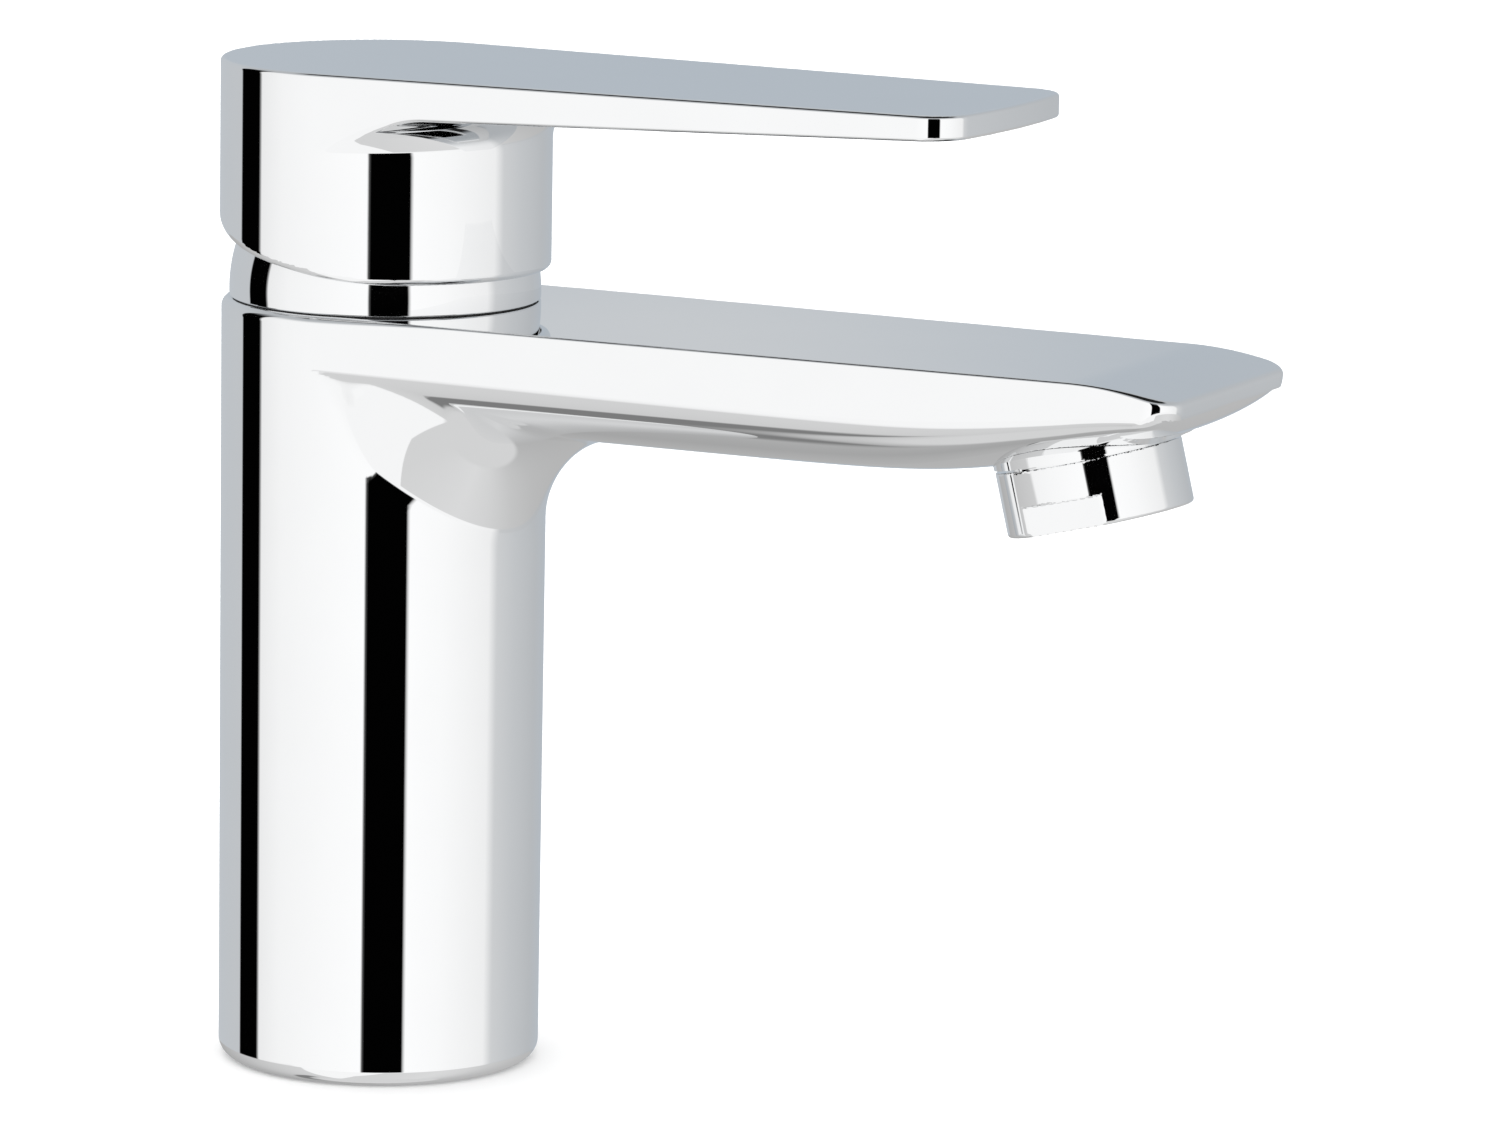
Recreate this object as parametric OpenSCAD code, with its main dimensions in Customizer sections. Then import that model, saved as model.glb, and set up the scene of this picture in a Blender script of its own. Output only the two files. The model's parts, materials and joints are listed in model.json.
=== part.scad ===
// Single-lever basin mixer: a cast column and spout, a ceramic-disc cartridge, a lever and an aerator.
// The origin is the centre of the base's underside. +Z is up, and the spout and the lever point along -Y.
// All sizes are in millimetres and all angles in degrees.

/* [Column] */
// Radius of the column where it stands on the deck
column_r = 24; // [23:0.5:32]
// Radius that the column gains between the deck and its top
column_flare = 0.25; // [0:0.05:1]
// Height of the body's flat top above the deck
body_h = 114.8; // [96:0.1:160]
// Radius of the round edge at the foot
foot_edge_r = 2.5; // [0.5:0.1:3]
// Radius of the round edge around the back of the top
top_edge_r = 1.5; // [0.3:0.1:1.8]
// Wall of the hollow foot
foot_wall = 4; // [3:0.5:6]
// Height of the thick ring at the bottom of the foot
foot_ring_h = 6; // [4:0.5:10]
// Radius of the opening in that ring
foot_opening_r = 17.5; // [15:0.5:18.5]
// Thickness of the solid web between the foot's hollow and the cartridge
web_t = 24; // [22:0.5:34]

/* [Spout] */
// Length from the column's axis to the tip of the nose
spout_len = 136.5; // [110:0.5:180]
// Depth of the spout, from its flat top to its underside
spout_depth = 18; // [17:0.1:22]
// Angle by which each side of the spout closes in
spout_taper = 1; // [0:0.1:3]
// Radius of the fillet under the root of the spout
root_fillet_r = 17; // [12:0.5:20]
// Share of the spout's depth that its upright side band takes
side_band = 0.42; // [0.3:0.01:0.6]
// Length over which the top rolls down towards the nose
roll_len = 13.5; // [6:0.5:20]
// Radius of that roll
roll_r = 65; // [40:1:120]
// How far the nose stands out past the front edge of the top
nose_out = 3; // [1:0.1:5]
// Depth of the nose's foremost line below the flat top
nose_drop = 3.2; // [2:0.1:5]
// Radius of the nose's corners seen from above
nose_corner_r = 6; // [3:0.5:9]

/* [Outlet] */
// Distance from the column's axis to the centre of the aerator's upper rim
outlet_reach = 114.4; // [90:0.1:122]
// Height of that rim's centre below the flat top
outlet_drop = 13.7; // [12:0.1:16]
// Angle by which the jet leans forward
outlet_tilt = 14; // [0:1:18]
// Radius of the aerator's visible ring
aerator_r = 13.5; // [12.5:0.1:15]
// Height of the visible ring
aerator_h = 9.5; // [7:0.1:12]
// Nominal radius of the aerator's screw thread, M24 x 1
aerator_thread_r = 12; // [10:0.5:12.2]
// Length of that thread
aerator_thread_len = 5; // [3:0.5:6]
// Distance across the two spanner flats
aerator_flats = 24; // [22:0.5:26]
// Height of the spanner flats
aerator_flat_h = 4.3; // [3:0.1:6]
// Narrow gap between the ring and the spout
aerator_gap = 0.35; // [0.1:0.05:1]

/* [Water ways] */
// Half width of the hollow inside the spout
way_half_w = 13; // [10:0.5:15]
// Metal left above that hollow
way_roof = 3.5; // [2.5:0.1:5]
// Metal left below that hollow
way_floor = 4.2; // [3.5:0.1:6]
// Radius of the cast channel from the cartridge to the spout
channel_r = 2.9; // [2:0.1:3.2]
// Sideways distance of each hose port from the middle
hose_x = 8.5; // [6.5:0.5:9.5]
// Distance of the hose ports in front of the axis
hose_y = 4.5; // [2:0.5:7]
// Wall radius of a hose port's thread, M10 x 1
hose_port_r = 4.5; // [4:0.1:5]
// Length of that thread
hose_port_len = 9; // [6:0.5:12]
// Wall radius of the fixing stud's thread, M8
stud_r = 3.4; // [2.5:0.1:4]
// Length of that thread
stud_len = 10; // [6:0.5:12]
// Distance of the fixing stud behind the axis
stud_y = 12.5; // [10:0.5:13.5]

/* [Cartridge] */
// Outer radius of the cartridge
cartridge_r = 17.5; // [14.5:0.1:18]
// Height of the lever's pivot above the flat top
pivot_rise = 1.2; // [0:0.1:4]
// Distance from the pivot down to the ball that drives the disc
finger_arm = 12; // [10:0.5:14]
// Radius of that ball
finger_ball_r = 2.7; // [2:0.1:3]
// Half of the spindle's whole tilt
spindle_tilt = 11; // [8:0.5:12]
// Width of the spindle's square stem
stem_w = 8; // [6:0.5:9]
// Length of the stem above the pivot
stem_len = 25; // [20:0.5:28]
// Width of the spindle's hub along the pivot pin
hub_w = 10; // [9:0.5:12]
// Radius of the pivot pin
pin_r = 2; // [1.5:0.1:2.5]
// Thickness of the sliding ceramic disc
moving_disc_t = 3; // [2.5:0.1:4]
// Thickness of the fixed ceramic disc
fixed_disc_t = 3.5; // [3:0.1:5]
// Thickness of the cartridge's base
base_t = 3; // [2.5:0.1:4]
// Radius of each inlet through the discs
inlet_r = 2.2; // [1.5:0.1:2.4]
// Sideways distance of each inlet from the middle
inlet_x = 5.5; // [4.5:0.1:6]
// Distance of the inlets in front of the axis
inlet_y = 3.5; // [3:0.1:5]
// Radius of the outlet through the discs
outlet_r = 3; // [2:0.1:3.2]
// Distance of that outlet behind the axis
outlet_y = 5.8; // [5:0.1:7]
// Angle that the lever turns to each side
turn_limit = 50; // [30:5:60]

/* [Collar and nut] */
// How far the collar's ball stands in from the column's side
dome_setback = 1.15; // [0.5:0.05:2]
// Wall of the collar
dome_wall = 1.7; // [1:0.1:2.5]
// Radius of the opening in the top of the collar
dome_open_r = 14; // [13:0.5:16]
// Thickness of the black ring under the collar
dome_seal_t = 0.6; // [0.3:0.1:1.5]
// Depth of the recess that centres the collar
recess_depth = 3; // [2:0.1:4]
// How far the corners of the nut's hexagon stand in from its round land
nut_corner_in = 0.3; // [0.1:0.1:1]
// Height of the nut's hexagon
nut_hex_h = 3.5; // [2.5:0.1:5]

/* [Lever] */
// Height from the body's flat top to the flat top of the lever
lever_rise = 35.5; // [32:0.1:42]
// Length from the column's axis to the tip of the lever
lever_len = 102.5; // [80:0.5:140]
// How far the lever's skirt stands out past the column's side
skirt_out = 0.3; // [0:0.05:1]
// Height of the gap between the body and the skirt
skirt_gap = 4.8; // [3:0.1:6]
// Wall of the skirt
skirt_wall = 3.4; // [2.5:0.1:4]
// Angle by which each side of the lever closes in
lever_taper = 2.5; // [0:0.1:5]
// Thickness of the lever's plate at the skirt
plate_root_t = 5.8; // [4:0.1:8]
// Thickness of the plate at its tip
plate_tip_t = 3.5; // [2.5:0.1:5]
// Radius of the tip's corners seen from above
plate_corner_r = 5; // [2:0.5:9]
// Radius of the tip's slightly bowed front edge
plate_bow_r = 120; // [80:5:300]
// Radius of the fillet between the skirt and the plate
plate_fillet_r = 5.5; // [3:0.5:7]
// Slope of the skirt's raised rear edge
rear_slope = 9.7; // [5:0.1:12]
// Radius of the boss around the spindle
boss_r = 9; // [7.5:0.1:9.5]
// Radius of the grub screw, M5
grub_r = 2.5; // [2:0.1:3]
// Length of the grub screw
grub_len = 5; // [4:0.5:6]
// Radius of the index plug
plug_r = 3.5; // [3:0.1:4]

/* [Clearances] */
// Clearance of a running fit, on the radius
run = 0.05; // [0.02:0.01:0.1]
// Clearance of a part that is only located, on the radius
loose = 0.2; // [0.1:0.05:0.3]
// Clearance between parts that move past each other
free = 0.4; // [0.3:0.05:0.6]

/* [Hidden] */

$fn = 96;
EPS = 0.01;
FAR = 400;

// Levels, from the pivot downwards
pivot_z = body_h + pivot_rise;
finger_z = pivot_z - finger_arm;
carrier_tower_top = finger_z + 1.5;
carrier_plate_t = 2.2;
carrier_bottom = finger_z - 3.6;
carrier_plate_top = carrier_bottom + carrier_plate_t;
disc_gap = 0.02;
fixed_disc_top = carrier_bottom - moving_disc_t - disc_gap;
fixed_disc_bottom = fixed_disc_top - fixed_disc_t;
base_bottom = fixed_disc_bottom - base_t;
seal_proud = 0.4;
floor_z = base_bottom - seal_proud;
web_bottom = floor_z - web_t;
channel_z = floor_z - 10.5;

// Cartridge radii
housing_wall = 1.5;
cavity_r = cartridge_r - housing_wall;
neck_r = cartridge_r - 2.2;
neck_inner_r = neck_r - 2;
rotor_r = neck_inner_r - 0.1;
moving_disc_r = neck_inner_r - 2;
carrier_r = moving_disc_r + 0.8;
tower_half = stem_w / 2 + 0.5;
travel_half = finger_arm * sin(spindle_tilt);

// Cartridge levels above the discs
flange_bottom = carrier_plate_top + 0.3;
flange_top = flange_bottom + 2.1;
cavity_top = flange_top + run;
shoulder_z = cavity_top + 2;
neck_top = pivot_z + 5;
rotor_top = neck_top - loose;
slip_t = 0.5;
limit_t = 1.6;

// Nut, recess and collar
nut_bottom = shoulder_z + slip_t;
nut_thread_r = cartridge_r + 1.35;
nut_land_r = nut_thread_r + 0.5;
recess_z = body_h - recess_depth;
nut_hex_z = body_h - 0.4;
spigot_wall = 1.5;
spigot_in_r = nut_land_r + run;
spigot_out_r = spigot_in_r + spigot_wall;
recess_r = spigot_out_r + 0.1;
chamber_r = cartridge_r + loose;
column_top_r = column_r + column_flare;
dome_r = column_top_r - dome_setback;
dome_z = body_h + dome_seal_t;
dome_flange_t = 1.7;

// Lever
skirt_r = column_top_r + skirt_out;
skirt_z = body_h + skirt_gap;
lever_top = body_h + lever_rise;
plate_root_z = lever_top - plate_root_t;
plate_tip_z = lever_top - plate_tip_t;
cavity_ball_r = dome_r + free;
cavity_roof = plate_root_z - 0.5;
rear_cut_y = 6.6;
rear_chamfer = 48;
rear_chamfer_in = 2.9;
boss_start = 12;
grub_at = 16;

// Spout
side_r = column_top_r;
spout_back = 2;
front_edge = spout_len - nose_out;
roll_start = front_edge - roll_len;
seat_start = outlet_reach - aerator_r - 1;
nose_start = outlet_reach + aerator_r + 2.1;
outlet_z = body_h - outlet_drop;
fillet_s = side_r + root_fillet_r;

// Seals
ring_r = 0.6;
peg_r = 2;
peg_len = 3;
peg_in = 5.5;
peg_x = cartridge_r - peg_in;
peg_y = 6;
base_seal_in = 18.4;
base_seal_w = 2;
base_seal_t = 2;

function hyp(r, d) = sqrt(max(0, r * r - d * d));

// ---------- shapes that repeat ----------

// A flat ring standing on z
module ring(z, h, r_out, r_in) {
    translate([0, 0, z]) difference() {
        cylinder(h = h, r = r_out);
        translate([0, 0, -1]) cylinder(h = h + 2, r = r_in);
    }
}

// A round-section seal ring centred on z
module o_ring(r, section) {
    rotate_extrude() translate([r, 0]) circle(section, $fn = 32);
}

// The places of the two inlets and the outlet: [x, y, radius]
ports = [[-inlet_x, -inlet_y, inlet_r], [inlet_x, -inlet_y, inlet_r], [0, outlet_y, outlet_r]];

// Straight holes through the discs
module port_holes(z, h) {
    for (p = ports) translate([p[0], p[1], z]) cylinder(h = h, r = p[2]);
}

// One seal ring around each port
module port_rings(z) {
    for (p = ports) translate([p[0], p[1], z]) o_ring(p[2] + 0.9, ring_r - 0.01);
}

// One square groove around each port
module port_grooves(z, h) {
    for (p = ports) translate([p[0], p[1], 0]) ring(z, h, p[2] + 1.5, p[2] + 0.3);
}

// The cartridge's two locating pegs
module pegs(z, h, r) {
    for (side = [-1, 1]) translate([side * peg_x, peg_y, z]) cylinder(h = h, r = r);
}

// A cut that rounds the outer edge of a disc of radius r; up = 1 for an upper edge at z = 0
module edge_round(r, f, up) {
    mirror([0, 0, up > 0 ? 0 : 1]) rotate_extrude() difference() {
        translate([r - f, -f]) square(f + 5);
        translate([r - f, -f]) circle(f);
    }
}

// Puts its children in the frame of the tilted jet: z = 0 at the ring's upper rim, -z outwards
module at_outlet() {
    translate([0, -outlet_reach, outlet_z]) rotate([-outlet_tilt, 0, 0]) children();
}

// Puts its children in the frame of the spindle at rest: z = 0 at the pivot, +z along the stem
module at_spindle() {
    translate([0, 0, pivot_z]) rotate([spindle_tilt, 0, 0]) children();
}

// A sector of a flat ring, centred on +Y, from -half to +half degrees
module sector(r_out, r_in, half) {
    reach = r_out / cos(half / 2) + 1;
    intersection() {
        difference() {
            circle(r_out);
            circle(r_in);
        }
        polygon([[0, 0], for (a = [-half, -half / 2, 0, half / 2, half]) reach * [sin(a), cos(a)]]);
    }
}

// ---------- body ----------

// Height of the spout's top at distance s from the axis
function spout_top(s) =
    s < roll_start ? body_h :
    s < front_edge ? body_h - pow(s - roll_start, 2) / (2 * roll_r) :
    nose_z() + (edge_z() - nose_z()) * hyp(1, min(1, (s - front_edge) / nose_out));
function edge_z() = body_h - pow(roll_len, 2) / (2 * roll_r);
function nose_z() = body_h - nose_drop;

// Height of the seat plane at distance s
function seat_z(s) = outlet_z + aerator_gap / cos(outlet_tilt) + (s - outlet_reach) * tan(outlet_tilt);

// Height of the spout's keel at distance s, without the root fillet
function keel_z(s) =
    s < seat_start ? body_h - spout_depth :
    s < nose_start ? max(body_h - spout_depth, seat_z(s) - 0.3) :
    nose_z() - (nose_z() - (seat_z(nose_start) - 0.3))
        * hyp(1, min(1, (s - nose_start) / (spout_len - nose_start)));

// Height of the keel with the fillet that runs down the column
function root_z(s) = s < fillet_s
    ? body_h - spout_depth - root_fillet_r + hyp(root_fillet_r, min(root_fillet_r, fillet_s - s))
    : keel_z(s);

// Half width of the spout at distance s
function spout_half(s) =
    let (w = side_r / cos(spout_taper) - s * tan(spout_taper), d = s - (spout_len - nose_corner_r))
    d < 0 ? w : w - nose_corner_r + hyp(nose_corner_r, min(nose_corner_r, d) * 0.995);

// Lower edge of the upright side band at distance s
function band_z(s) = spout_top(s) - side_band * (spout_top(s) - keel_z(s));

hull_steps = 20;

// One cross-section of the spout, as points in order round it
function spout_section(s) =
    let (w = spout_half(s), t = spout_top(s), b = band_z(s), k = min(root_z(s), b - 0.05))
    concat(
        [[w, -s, t]],
        [for (i = [0 : hull_steps])
            let (a = 180 * i / hull_steps)
            [w * cos(a), -s, b - (b - k) * pow(max(0, sin(a)), 0.85)]],
        [[-w, -s, t]]
    );

// Distances of the cross-sections: close together where the shape turns
spout_stations = concat(
    [for (i = [0 : 5]) spout_back + i * (side_r - spout_back) / 5],
    [for (i = [1 : 7]) side_r + root_fillet_r * (1 - cos(90 * i / 7))],
    [seat_start - 1, seat_start + 3, outlet_reach, roll_start + 1, nose_start - 1],
    [for (i = [0 : 5]) nose_start + (spout_len - 0.03 - nose_start) * sin(90 * i / 5)]
);

module spout_shell() {
    sections = [for (s = spout_stations) spout_section(s)];
    n = len(sections[0]);
    last = len(sections) - 1;
    points = [for (section = sections) for (p = section) p];
    sides = [for (j = [0 : last - 1]) for (i = [0 : n - 1]) for (half = [0, 1])
        let (a = j * n + i, b = j * n + (i + 1) % n)
        half == 0 ? [a, b, b + n] : [a, b + n, a + n]];
    polyhedron(points, concat([[for (i = [n - 1 : -1 : 0]) i]], sides, [[for (i = [0 : n - 1]) last * n + i]]));
}

module column() {
    difference() {
        cylinder(h = body_h, r1 = column_r, r2 = column_top_r);
        translate([0, 0, body_h]) edge_round(column_top_r, top_edge_r, 1);
        edge_round(column_r, foot_edge_r, -1);
    }
}

// The flat pad that the aerator's ring nearly touches
module outlet_pad() {
    at_outlet() translate([0, 0, aerator_gap]) cylinder(h = 7, r = aerator_r + 0.4);
}

// Hollow foot, with a thick ring at the deck
module foot_hollow() {
    translate([0, 0, foot_ring_h]) cylinder(h = web_bottom - foot_ring_h, r = column_r - foot_wall);
    translate([0, 0, -1]) cylinder(h = foot_ring_h + 2, r = foot_opening_r);
    ring(-1, 1 + base_seal_t, base_seal_in + base_seal_w, base_seal_in);
}

// Threaded ports for the two hoses and the stud, seen from the foot's hollow
module foot_ports() {
    for (side = [-1, 1]) translate([side * hose_x, -hose_y, web_bottom - 1])
        cylinder(h = hose_port_len + 1, r = hose_port_r);
    translate([0, stud_y, web_bottom - 1]) cylinder(h = stud_len + 1, r = stud_r);
}

// A slanting channel from each hose port to the cartridge's inlet
module inlet_channels() {
    rise = floor_z - web_bottom - hose_port_len + 2;
    dx = hose_x - inlet_x;
    dy = hose_y - inlet_y;
    run_len = norm([dx, dy, rise]);
    for (side = [-1, 1])
        translate([side * hose_x, -hose_y, web_bottom + hose_port_len - 1])
            rotate([0, 0, atan2(dy, -side * dx)]) rotate([0, acos(rise / run_len), 0])
                cylinder(h = run_len + 0.6, r = inlet_r);
}

// The channel from the cartridge's outlet to the hollow spout: down, forward and up into the spout
module outlet_channel() {
    elbow_y = side_r - 7;
    overlap = channel_r * 0.6;
    riser_r = channel_r - 0.2;
    riser_dy = 12;
    riser_dz = body_h - way_roof - channel_z - 5;
    riser_tilt = atan2(riser_dy, riser_dz);
    translate([0, outlet_y, channel_z - overlap]) cylinder(h = floor_z - channel_z + overlap + 1, r = outlet_r);
    translate([0, outlet_y + overlap, channel_z]) rotate([90, 0, 0])
        cylinder(h = outlet_y + elbow_y + 2 * overlap, r = channel_r);
    translate([0, -elbow_y, channel_z]) rotate([riser_tilt, 0, 0]) translate([0, 0, -overlap])
        cylinder(h = norm([riser_dy, riser_dz]) + overlap, r = riser_r);
}

// Hollow inside the spout: deep behind the aerator, shallow above it
module water_way() {
    top = body_h - way_roof;
    bottom = body_h - spout_depth + way_floor;
    start = side_r + 3;
    middle = seat_start - 2;
    shallow = top - 5;
    translate([-way_half_w, -middle, bottom]) cube([2 * way_half_w, middle - start, top - bottom]);
    translate([-way_half_w + 2, -(outlet_reach + 6), shallow])
        cube([2 * way_half_w - 4, outlet_reach + 6 - middle + 2, top - shallow]);
}

// Stepped chamber for the cartridge, its nut and the collar's spigot
module chamber() {
    translate([0, 0, floor_z]) cylinder(h = FAR, r = chamber_r);
    translate([0, 0, shoulder_z - 0.5]) cylinder(h = FAR, r = nut_thread_r + run);
    translate([0, 0, recess_z]) cylinder(h = FAR, r = recess_r);
    pegs(floor_z - peg_len - 0.5, peg_len + 1, peg_r + 0.1);
}

// Threaded bore for the aerator
module outlet_bore() {
    at_outlet() {
        translate([0, 0, -9 + aerator_gap]) cylinder(h = 9, r = aerator_r + 0.8);
        cylinder(h = aerator_thread_len + 1, r = aerator_thread_r + run);
        cylinder(h = aerator_thread_len + 3, r = aerator_thread_r - 2.5);
    }
}

module body() {
    color("gainsboro") difference() {
        union() {
            column();
            spout_shell();
            outlet_pad();
        }
        foot_hollow();
        foot_ports();
        inlet_channels();
        outlet_channel();
        water_way();
        chamber();
        outlet_bore();
    }
}

// ---------- seals and cartridge, fixed in the body ----------

module base_seal() {
    color("dimgray") ring(0, base_seal_t, base_seal_in + base_seal_w - run, base_seal_in + run);
}

module port_seals() {
    color("black") port_rings(floor_z + ring_r);
}

module cartridge_base() {
    color("whitesmoke") difference() {
        union() {
            translate([0, 0, base_bottom]) cylinder(h = base_t, r = cartridge_r);
            pegs(base_bottom - seal_proud - peg_len, peg_len + 1, peg_r);
        }
        port_holes(base_bottom - 1, base_t + 2);
        port_grooves(base_bottom - 1, 1 + 2 * ring_r - seal_proud);
        port_grooves(fixed_disc_bottom - 2 * ring_r, 2);
    }
}

module disc_seals() {
    color("black") port_rings(fixed_disc_bottom - ring_r);
}

module fixed_disc() {
    color("ivory") difference() {
        translate([0, 0, fixed_disc_bottom]) cylinder(h = fixed_disc_t, r = cavity_r - 0.1);
        port_holes(fixed_disc_bottom - 1, fixed_disc_t + 2);
    }
}

module cartridge_housing() {
    color("white") difference() {
        union() {
            translate([0, 0, fixed_disc_bottom]) cylinder(h = shoulder_z - fixed_disc_bottom, r = cartridge_r);
            translate([0, 0, shoulder_z - 1]) cylinder(h = neck_top - shoulder_z + 1, r = neck_r);
        }
        translate([0, 0, fixed_disc_bottom - 1]) cylinder(h = cavity_top - fixed_disc_bottom + 1, r = cavity_r);
        translate([0, 0, cavity_top - 1]) cylinder(h = FAR, r = neck_inner_r);
    }
}

module slip_ring() {
    color("white") ring(shoulder_z, slip_t, cartridge_r, neck_r + loose);
}

module retaining_nut() {
    hex_r = nut_land_r - nut_corner_in;
    color("goldenrod") difference() {
        union() {
            translate([0, 0, nut_bottom]) cylinder(h = recess_z + 0.1 - nut_bottom + EPS, r = nut_thread_r);
            translate([0, 0, recess_z + 0.1]) cylinder(h = nut_hex_z - recess_z - 0.1, r = nut_land_r);
            translate([0, 0, nut_hex_z - EPS]) cylinder(h = nut_hex_h + EPS, r = hex_r, $fn = 6);
        }
        translate([0, 0, nut_bottom - 1]) cylinder(h = FAR, r = neck_r + loose);
    }
}

// Ring with the two stops that the rotor's lug meets at each end of the turn
module limit_ring() {
    lug_half = 8;
    gap_half = turn_limit + lug_half + 1;
    color("firebrick") translate([0, 0, neck_top]) linear_extrude(limit_t) difference() {
        circle(neck_r);
        circle(rotor_r - 2.4);
        sector(neck_inner_r + 0.2, rotor_r - 4, gap_half);
    }
}

module dome_seal() {
    color("black") ring(body_h, dome_seal_t, column_top_r - top_edge_r - 0.1, recess_r + 0.3);
}

module dome_collar() {
    color("gainsboro") difference() {
        union() {
            intersection() {
                translate([0, 0, pivot_z]) sphere(dome_r);
                translate([-FAR / 2, -FAR / 2, dome_z]) cube(FAR);
            }
            translate([0, 0, recess_z + 0.3]) cylinder(h = dome_z + 1 - recess_z - 0.3, r = spigot_out_r);
        }
        difference() {
            translate([0, 0, pivot_z]) sphere(dome_r - dome_wall);
            translate([-FAR / 2, -FAR / 2, dome_z + dome_flange_t - FAR]) cube(FAR);
        }
        translate([0, 0, recess_z - 1]) cylinder(h = dome_z + dome_flange_t - recess_z + 2, r = spigot_in_r);
        translate([0, 0, pivot_z]) cylinder(h = FAR, r = dome_open_r);
    }
}

// ---------- aerator ----------

screen_t = 0.6;
lip_h = 1;
insert_r = aerator_thread_r - 1.6;
insert_in_r = insert_r - 1.4;
insert_bottom = lip_h - aerator_h;
insert_top = insert_bottom + 8;

module aerator_housing() {
    color("gainsboro") at_outlet() difference() {
        union() {
            translate([0, 0, -aerator_h]) cylinder(h = aerator_h, r = aerator_r);
            cylinder(h = aerator_thread_len, r = aerator_thread_r);
        }
        translate([0, 0, insert_bottom]) cylinder(h = FAR, r = insert_r + run);
        translate([0, 0, -aerator_h - 1]) cylinder(h = FAR, r = insert_in_r + 0.3);
        for (side = [0, 1]) mirror([side, 0, 0]) translate([aerator_flats / 2, -FAR / 2, -aerator_h - 1])
            cube([FAR, FAR, aerator_flat_h + 1]);
    }
}

module aerator_washer() {
    color("black") at_outlet() ring(aerator_thread_len, 1, aerator_thread_r - run, insert_in_r + 0.5);
}

// Perforated disc with one peg in the middle, which splits the water into jets
module flow_regulator() {
    jets = 12;
    color("seagreen") at_outlet() difference() {
        union() {
            translate([0, 0, insert_top - 3]) cylinder(h = 2, r = insert_in_r - run);
            translate([0, 0, insert_top - 3]) cylinder(h = 4, r = 2);
        }
        for (i = [0 : jets - 1]) rotate([0, 0, 360 * i / jets])
            translate([insert_in_r * 0.72, 0, insert_top - 4]) cylinder(h = 4, r = 0.7, $fn = 24);
    }
}

// Tube with an inner step that the regulator rests on
module aerator_insert() {
    color("whitesmoke") at_outlet() difference() {
        translate([0, 0, insert_bottom]) cylinder(h = insert_top - insert_bottom, r = insert_r);
        translate([0, 0, insert_bottom - 1]) cylinder(h = insert_top - 3 - insert_bottom - 1, r = insert_in_r);
        translate([0, 0, insert_top - 5]) cylinder(h = 3, r = insert_in_r - 1);
        translate([0, 0, insert_top - 3]) cylinder(h = 5, r = insert_in_r);
    }
}

// Stainless grid at the mouth
module aerator_screen() {
    pitch = 2.2;
    hole = 1.6;
    rows = 3;
    color("silver") at_outlet() translate([0, 0, insert_bottom]) difference() {
        cylinder(h = screen_t, r = insert_in_r - run);
        for (i = [-rows : rows]) for (j = [-rows : rows])
            if (norm([i, j]) * pitch < insert_in_r - hole)
                translate([i * pitch - hole / 2, j * pitch - hole / 2, -1]) cube([hole, hole, screen_t + 2]);
    }
}

// ---------- parts that turn with the lever ----------

module rotor() {
    slot_half_x = hub_w / 2 + 0.1;
    slot_half_y = max(5.6, stem_w / 2 + 1.6);
    lug_half = 8;
    color("lightgray") difference() {
        union() {
            translate([0, 0, flange_bottom]) cylinder(h = flange_top - flange_bottom, r = cavity_r - loose);
            translate([0, 0, flange_bottom]) cylinder(h = rotor_top - flange_bottom, r = rotor_r);
            translate([0, 0, rotor_top - EPS]) linear_extrude(limit_t) sector(rotor_r - 0.2, rotor_r - 2.2, lug_half);
        }
        translate([-slot_half_x, -slot_half_y, flange_bottom - 1]) cube([2 * slot_half_x, 2 * slot_half_y, FAR]);
        translate([-tower_half - 0.1, -tower_half - travel_half - 0.5, flange_bottom - 1])
            cube([2 * tower_half + 0.2, 2 * (tower_half + travel_half + 0.5), carrier_tower_top - flange_bottom + 1.6]);
        translate([-FAR / 2, 0, pivot_z]) rotate([0, 90, 0]) cylinder(h = FAR, r = pin_r);
        ring(pivot_z - 6.7, 1.4, rotor_r + 1, rotor_r - 1.25);
    }
}

module rotor_seal() {
    color("black") translate([0, 0, pivot_z - 6]) o_ring(rotor_r - 0.57, 0.64);
}

module pivot_pin() {
    half = rotor_r - 0.6;
    color("silver") translate([-half, 0, pivot_z]) rotate([0, 90, 0]) cylinder(h = 2 * half, r = pin_r);
}

// ---------- parts that slide when the lever lifts ----------

module disc_carrier() {
    slot_r = finger_ball_r + 0.1;
    color("white") translate([0, travel_half, 0]) difference() {
        union() {
            translate([0, 0, carrier_bottom]) cylinder(h = carrier_plate_t, r = carrier_r);
            translate([-tower_half, -tower_half, carrier_plate_top - EPS])
                cube([2 * tower_half, 2 * tower_half, carrier_tower_top - carrier_plate_top + EPS]);
        }
        translate([-slot_r, -slot_r, finger_z - finger_ball_r - 0.1]) cube([2 * slot_r, 2 * slot_r, FAR]);
    }
}

// Disc with a pocket underneath that joins the inlets to the outlet when it slides forward
module moving_disc() {
    bottom = carrier_bottom - moving_disc_t;
    pocket_front = -inlet_y + inlet_r + 0.5;
    color("ivory") difference() {
        translate([0, travel_half, bottom]) cylinder(h = moving_disc_t, r = moving_disc_r);
        intersection() {
            translate([0, travel_half, bottom - 1]) cylinder(h = 2.6, r = moving_disc_r - 1.7);
            translate([-FAR / 2, pocket_front, bottom - 2]) cube([FAR, FAR, 5]);
        }
    }
}

// ---------- parts that lift with the lever ----------

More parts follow.
